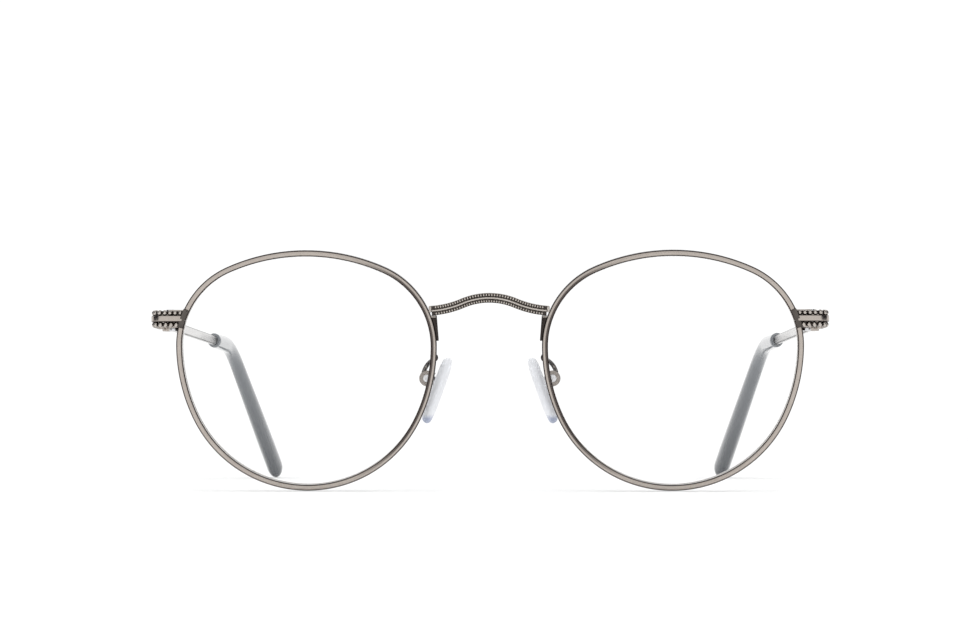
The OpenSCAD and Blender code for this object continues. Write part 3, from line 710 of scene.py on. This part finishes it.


# Painted shade: these pieces get rounded edges painted dark and flat faces painted bright, and the pad
# box is painted bright where it faces the front.
for side in ("right", "left"):
    arm_body = f"temple_{side}"
    tumbled("bridge_foot", side, "front", dark_pewter, 0.00012, lambda v: 0.05)
    tumbled("end_plate", side, "front", dark_pewter, 0.00008, lambda v: 0.13 * flats(v))
    tumbled("closing_block_upper", side, "front", pewter, 0.0001)
    tumbled("closing_block_lower", side, "front", pewter, 0.0001)
    tumbled("hinge_front", side, "front", pewter, 0.00008)
    tumbled("hinge_tongue", side, arm_body, pewter, 0.00008)
    tumbled("temple_bar", side, arm_body, pewter_bright, 0.0001, lambda v: 0.6 + 0.4 * flats(v))
    tumbled("pad_box", side, "front", pewter, 0.00022, box_rub)
    tumbled("pad_insert", side, f"pad_{side}", screw_steel, 0.00006)
    for screw in ("rim_screw", "hinge_screw", "pad_screw"):
        tumbled(screw, side, "front", screw_steel, 0.00005)

# A bright line of solder lies along the top of each foot, and becomes part of the foot's piece
for side, sign in (("right", -1), ("left", 1)):
    foot = bpy.data.objects[f"bridge_foot_piece_{side}"]
    bpy.ops.mesh.primitive_cube_add(
        size=1, location=(sign * (bridge_half - 0.00025), bridge_rise - bridge_h / 2 - 0.00027, 0)
    )
    seam = bpy.context.object
    seam.scale = (0.0012, 0.00028, 0.00158)
    settle(seam)
    apply_modifier(seam, "BEVEL", width=0.0001, segments=3, limit_method="ANGLE")
    settle(seam, flat_to_front)
    wear(seam, lambda v: 1)
    seam.data.materials.append(dark_pewter.material)
    join(foot, [seam])
    smooth(foot, 40)

# ---- Beaded wires of the end pieces ----
# Two wires with a bead at every pitch lie above and below the smooth bar, from the rim round the
# corner to the hinge. The gaps between their beads are dark.
end_bar_h = 0.0013
bead_d = 0.00115
wire_pitch = 0.00102
corner_r = 0.0022
solder = 0.00005
wire_r = 0.00038
bead_squeeze = 0.84
rubbed_bar_half = 0.00052
hinge_left = next(Vector(j["pos_m"]) for j in frame["joints"] if j["name"] == "temple_left_fold")
bar_low, bar_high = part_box("end_bar_left")
run_x = bar_high.x - end_bar_h / 2
front_y = bar_low.y + end_bar_h / 2
back_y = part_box("upper_bead_wire_left")[1].y
wire_dz = (end_bar_h + bead_d) / 2 - solder
bar_z = (bar_low.z + bar_high.z) / 2


def on_end_piece(start, s):
    """Point and heading at s metres along a beaded wire that starts at x = start."""
    across = run_x - corner_r - start
    corner = corner_r * math.pi / 2
    turn = min(max(s - across, 0), corner) / corner_r
    x = start + min(s, across) + corner_r * math.sin(turn)
    y = front_y + corner_r * (1 - math.cos(turn)) + max(s - across - corner, 0)
    return x, y, turn


def along_end_piece(obj, start, end_y):
    """Sweeps the flat section at x = start across, round the corner and back to y = end_y."""
    edit(obj)
    bpy.ops.mesh.select_all(action="SELECT")
    across = (run_x - corner_r - start, 0, 0)
    bpy.ops.mesh.extrude_region_move(TRANSFORM_OT_translate={"value": across})
    spin_on((run_x - corner_r, front_y + corner_r), math.pi / 2, 0.0003, corner_r)
    back = (0, end_y - front_y - corner_r, 0)
    bpy.ops.mesh.extrude_region_move(TRANSFORM_OT_translate={"value": back})
    close_edit(obj)


# The smooth bar between the wires has a square section with round edges
bpy.ops.object.select_all(action="DESELECT")
bpy.ops.mesh.primitive_plane_add(
    size=end_bar_h, location=(bar_low.x, front_y, bar_z), rotation=(0, math.pi / 2, 0)
)
smooth_bar = bpy.context.object
smooth_bar.name = "end_bar_piece_left"
settle(smooth_bar)
edit(smooth_bar)
bpy.ops.mesh.select_all(action="SELECT")
bpy.ops.mesh.bevel(offset=0.0002, segments=4, affect="VERTICES")
bpy.ops.object.mode_set(mode="OBJECT")
along_end_piece(smooth_bar, bar_low.x, bar_high.y)
wear(smooth_bar, lambda v: 1 if abs(v.co.z - bar_z) < rubbed_bar_half else 0.1)
fit_pair(smooth_bar, 50, "front", "end_bar_{}", pewter)


def bead_rub(v):
    """Painted light on a bead: bright round its middle, with painted shade at its ends, its top and its
    underside.
    """
    return 1.5 - 2.2 * abs(v.co.x) / bead_d - 1.8 * max(0, abs(v.co.z) * 2 / bead_d - 0.55)


for level_name, level in (("upper", 1), ("lower", -1)):
    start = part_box(f"{level_name}_bead_wire_left")[0].x
    length = run_x - corner_r - start + corner_r * math.pi / 2 + back_y - front_y - corner_r
    count = round(length / wire_pitch)
    pitch = length / count
    z = bar_z + level * wire_dz
    # The thin wire between the beads: a ring pushed along, round the corner and back
    bpy.ops.object.select_all(action="DESELECT")
    bpy.ops.mesh.primitive_circle_add(
        vertices=12,
        radius=wire_r,
        fill_type="NGON",
        location=(start, front_y, z),
        rotation=(0, math.pi / 2, 0),
    )
    wire = bpy.context.object
    wire.name = f"{level_name}_beaded_wire_left"
    settle(wire)
    along_end_piece(wire, start, back_y)
    wear(wire, lambda v: 0)
    bpy.ops.mesh.primitive_uv_sphere_add(segments=18, ring_count=12, radius=bead_d / 2)
    bead = bpy.context.object
    bead.scale = (bead_squeeze, 1, 1)
    settle(bead)
    # Each bead gets painted light and shade.
    wear(bead, bead_rub)
    bead_places = []
    for i in range(count):
        x, y, turn = on_end_piece(start, (i + 0.5) * pitch)
        bead_places.append(Matrix.Translation((x, y, z)) @ Matrix.Rotation(turn, 4, "Z"))
    join(wire, repeated(bead, bead_places))
    settle(wire)
    fit_pair(wire, 50, "front", f"{level_name}_bead_wire_{{}}", dark_pewter)

# ---- Temple tips ----
# Moulded tips of polished smoke-grey plastic, pushed over the thin end of the temple bar and bent
# behind the ear. They are oval, slimmer at the waist, and widen to a paddle with a round end.
toe = math.radians(1)
slope = math.radians(0.8)
bar_x = 0.0022
bar_len = 0.071
ear_lean = math.radians(13.8)
tip_straight = 0.018
ear_bend_r = 0.018
ear_bend = math.radians(44)
ear_arc = ear_bend_r * ear_bend
mouth_h, mouth_t = 0.0034, 0.0031
waist_h, waist_t = 0.0038, 0.0032
paddle_h, paddle_t = 0.0064, 0.004
end_r = paddle_h / 2
tip_place = (
    Matrix.Translation(hinge_left)
    @ Matrix.Rotation(toe, 4, "Z")
    @ Matrix.Rotation(-slope, 4, "X")
    @ Matrix.Translation((bar_x, bar_len, 0))
    @ Matrix.Rotation(ear_lean, 4, "Y")
)
# The tip hangs far enough for its round end to rest on the ground
tip_rest = math.hypot(end_r * math.cos(ear_lean), paddle_t / 2 * math.sin(ear_lean))
upright = math.cos(ear_lean) * math.cos(slope)
hang_drop = ear_bend_r * (1 - math.cos(ear_bend)) * upright
hang_back = bar_len + tip_straight + ear_bend_r * math.sin(ear_bend)
hang_len = (hinge_left.z - hang_back * math.sin(slope) - tip_rest - hang_drop) / (
    math.cos(ear_bend) * math.sin(slope) + math.sin(ear_bend) * upright
)
tip_len = tip_straight + ear_arc + hang_len + end_r


def ease(u):
    u = min(max(u, 0), 1)
    return u * u * (3 - 2 * u)


def along_tip(s):
    """Back, down and turn of the tip's centre line at s metres from its mouth."""
    turn = min(max(s - tip_straight, 0), ear_arc) / ear_bend_r
    after = max(s - tip_straight - ear_arc, 0)
    back = min(s, tip_straight) + ear_bend_r * math.sin(turn) + after * math.cos(turn)
    return back, ear_bend_r * (1 - math.cos(turn)) + after * math.sin(turn), turn


def tip_size(s, mouth, waist, paddle):
    swell = (paddle - waist) * ease((s - tip_straight) / (tip_len - end_r - tip_straight))
    return waist + (mouth - waist) * (1 - ease(s / tip_straight)) + swell


# Rings as (distance along, share of the full size): the mouth's hollow and lip, the body, the end
tip_rings = [(0.0007, 0.46), (0.0001, 0.50), (0.0, 0.62), (0.0, 0.86), (0.0001, 0.95), (0.0003, 1.0)]
tip_rings += [(0.0003 + (tip_len - end_r - 0.0003) * i / 64, 1.0) for i in range(1, 65)]
for i in range(1, 13):
    a = math.radians(7 * i)
    tip_rings.append((tip_len - end_r * (1 - math.sin(a)), math.cos(a)))
tip_sides = 32
bpy.ops.object.select_all(action="DESELECT")
bpy.ops.mesh.primitive_circle_add(vertices=tip_sides, radius=1, fill_type="NGON")
tip_left = bpy.context.object
tip_left.name = "temple_tip_piece_left"
edit(tip_left)
bpy.ops.mesh.select_all(action="SELECT")
for _ in tip_rings[1:]:
    bpy.ops.mesh.extrude_region_move(TRANSFORM_OT_translate={"value": (0, 0, 1)})
shape = bmesh.from_edit_mesh(tip_left.data)
for v in shape.verts:
    s, share = tip_rings[round(v.co.z)]
    back, down, turn = along_tip(s)
    t = tip_size(s, mouth_t, waist_t, paddle_t) / 2 * share * v.co.x
    h = tip_size(s, mouth_h, waist_h, paddle_h) / 2 * share * v.co.y
    v.co = (t, back + h * math.sin(turn), -down + h * math.cos(turn))
bmesh.update_edit_mesh(tip_left.data)
close_edit(tip_left)
settle(tip_left, tip_place)

smoke = Finish("smoke_acetate", IOR=1.49, Coat_Weight=0.6, Coat_Roughness=0.04, Transmission_Weight=0.25)
# Painted light: the tip is painted lighter higher up towards the bend, as if lit through, and darker low
# down; a little real swirl of tone is mixed in.
tip_height = smoke.node("SeparateXYZ", Vector=smoke.place(), output="Z")
lit_and_swirl_share = smoke.node(
    "MapRange", Value=tip_height, From_Min=0.004, From_Max=0.033, To_Min=0.0, To_Max=1.0
)
smoke_swirl = smoke.noise(0.006, stretch=(1, 0.3, 0.6))
lit_and_swirl_share = lit_and_swirl_share * 0.8 + smoke_swirl * 0.2
smoke.feed("Base Color", smoke.blend(lit_and_swirl_share, (0.055, 0.062, 0.072), (0.20, 0.215, 0.235)))
smoke.feed("Roughness", 0.08 + 0.06 * smoke_swirl)
fit_pair(tip_left, 60, "temple_{}", "temple_tip_{}", smoke)

# ---- Pad arms ----
# A soft wire is soldered behind each rim, loops back and round, and ends on the pad box.
pad_left = next(Vector(j["pos_m"]) for j in frame["joints"] if j["name"] == "pad_left_rock")
pad_lean = math.radians(20)
pad_splay = math.radians(3)
arm_r = 0.00044
knob_r = 0.00062
pad_place = (
    Matrix.Translation(pad_left)
    @ Matrix.Rotation(pad_splay, 4, "Z")
    @ Matrix.Rotation(-pad_lean, 4, "Y")
)
root_drop = 0.0023
root_inset = 0.0003
rim_side = flank_x + math.sqrt((flank_side_r + rim_out) ** 2 - root_drop ** 2)
arm_root = Vector((
    eye_x - rim_side + root_inset,
    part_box("pad_arm_left")[0].y + 0.00007,
    foot_lift + (eye_rise - root_drop) * math.cos(lean),
))
arm_end = pad_place @ Vector((0.0012, 0, 0.0009))
arm_leaves = arm_root + Vector((-0.0005, 0.003, 0))
arm_arrives = arm_end + Vector((-0.0006, 0.0024, 0.0026))
bpy.ops.object.select_all(action="DESELECT")
bpy.ops.curve.primitive_bezier_curve_add()
arm_curve = bpy.context.object
arm_curve.data.resolution_u = 40
arm_curve.data.bevel_depth = arm_r
arm_curve.data.bevel_resolution = 6
arm_curve.data.use_fill_caps = True
first, last = arm_curve.data.splines[0].bezier_points
for point in (first, last):
    point.handle_left_type = point.handle_right_type = "FREE"
first.co = arm_root
first.handle_right = arm_leaves
first.handle_left = 2 * arm_root - arm_leaves
last.co = arm_end
last.handle_left = arm_arrives
last.handle_right = 2 * arm_end - arm_arrives
bpy.ops.object.convert(target="MESH")
arm_left = bpy.context.object
arm_left.name = "pad_arm_piece_left"
# Solder knob at the root
bpy.ops.mesh.primitive_uv_sphere_add(segments=24, ring_count=14, radius=knob_r, location=arm_root)
knob = bpy.context.object
knob.scale = (1, 0.8, 1.25)
settle(knob)
join(arm_left, [knob])
settle(arm_left)
# Painted shade: the wire's sides that face left and right are painted dark, and its top and underside
# bright.
wear(arm_left, lambda v: 0.75 - 1.6 * abs(v.normal.x))
fit_pair(arm_left, 50, "front", "pad_arm_{}", pewter)

# ---- Nose pads ----
# Soft clear silicone moulded over a steel plate: an oval slab with a crowned face towards the
# nose and well rounded edges.
pad_len = 0.014
pad_w = 0.0072
pad_t = 0.0021
pad_back = 0.0017
pad_hang = 0.0016
pad_edge_r = 0.0009
pad_crown = 0.00028
# Rings as (depth towards the nose from the middle, inset): out from the back face's middle, round
# the edge, and in to the middle of the crowned front face
pad_rings = [(-pad_t / 2, inset) for inset in (0.0028, 0.0018)]
for i in range(17):
    a = math.radians(-90 + i * 180 / 16)
    reach = pad_t / 2 if a < 0 else pad_t / 2 - pad_crown
    pad_rings.append((reach * math.sin(a), pad_edge_r * (1 - math.cos(a))))
pad_rings += [
    (pad_t / 2 - pad_crown * (1 - (inset - pad_edge_r) / (pad_w / 2 - pad_edge_r)) ** 2, inset)
    for inset in (0.0014, 0.002, 0.0026, 0.0031)
]
bpy.ops.object.select_all(action="DESELECT")
bpy.ops.mesh.primitive_circle_add(vertices=64, radius=1, fill_type="NGON")
silicone_left = bpy.context.object
silicone_left.name = "silicone_pad_left"
edit(silicone_left)
bpy.ops.mesh.select_all(action="SELECT")
for _ in pad_rings[1:]:
    bpy.ops.mesh.extrude_region_move(TRANSFORM_OT_translate={"value": (0, 0, 1)})
shape = bmesh.from_edit_mesh(silicone_left.data)
for v in shape.verts:
    depth, inset = pad_rings[round(v.co.z)]
    r = pad_w / 2 - inset
    straight = (pad_len - pad_w) / 2 * (1 if v.co.y > 1e-6 else -1 if v.co.y < -1e-6 else 0)
    v.co = (-pad_back - pad_t / 2 - depth, r * v.co.x, r * v.co.y + straight - pad_hang)
bmesh.update_edit_mesh(silicone_left.data)
close_edit(silicone_left)
settle(silicone_left, pad_place)

silicone = Finish("clear_silicone", IOR=1.41, Transmission_Weight=0.2)
silicone_skin = silicone.noise(0.0008)
silicone_height = silicone.node("SeparateXYZ", Vector=silicone.place(), output="Z")
# Painted shade: a bluish-grey band is painted along the lowest edge of each pad.
pad_edge_shade = silicone.node("MapRange", Value=silicone_height, From_Min=0.0144, From_Max=0.0153)
silicone.feed("Base Color", silicone.blend(pad_edge_shade, (0.42, 0.47, 0.62), (0.95, 0.965, 1.0)))
silicone.feed("Roughness", 0.30 + 0.12 * silicone_skin)
silicone.bump(silicone_skin, 0.00001)
fit_pair(silicone_left, 60, "pad_{}", "nose_pad_{}", silicone)
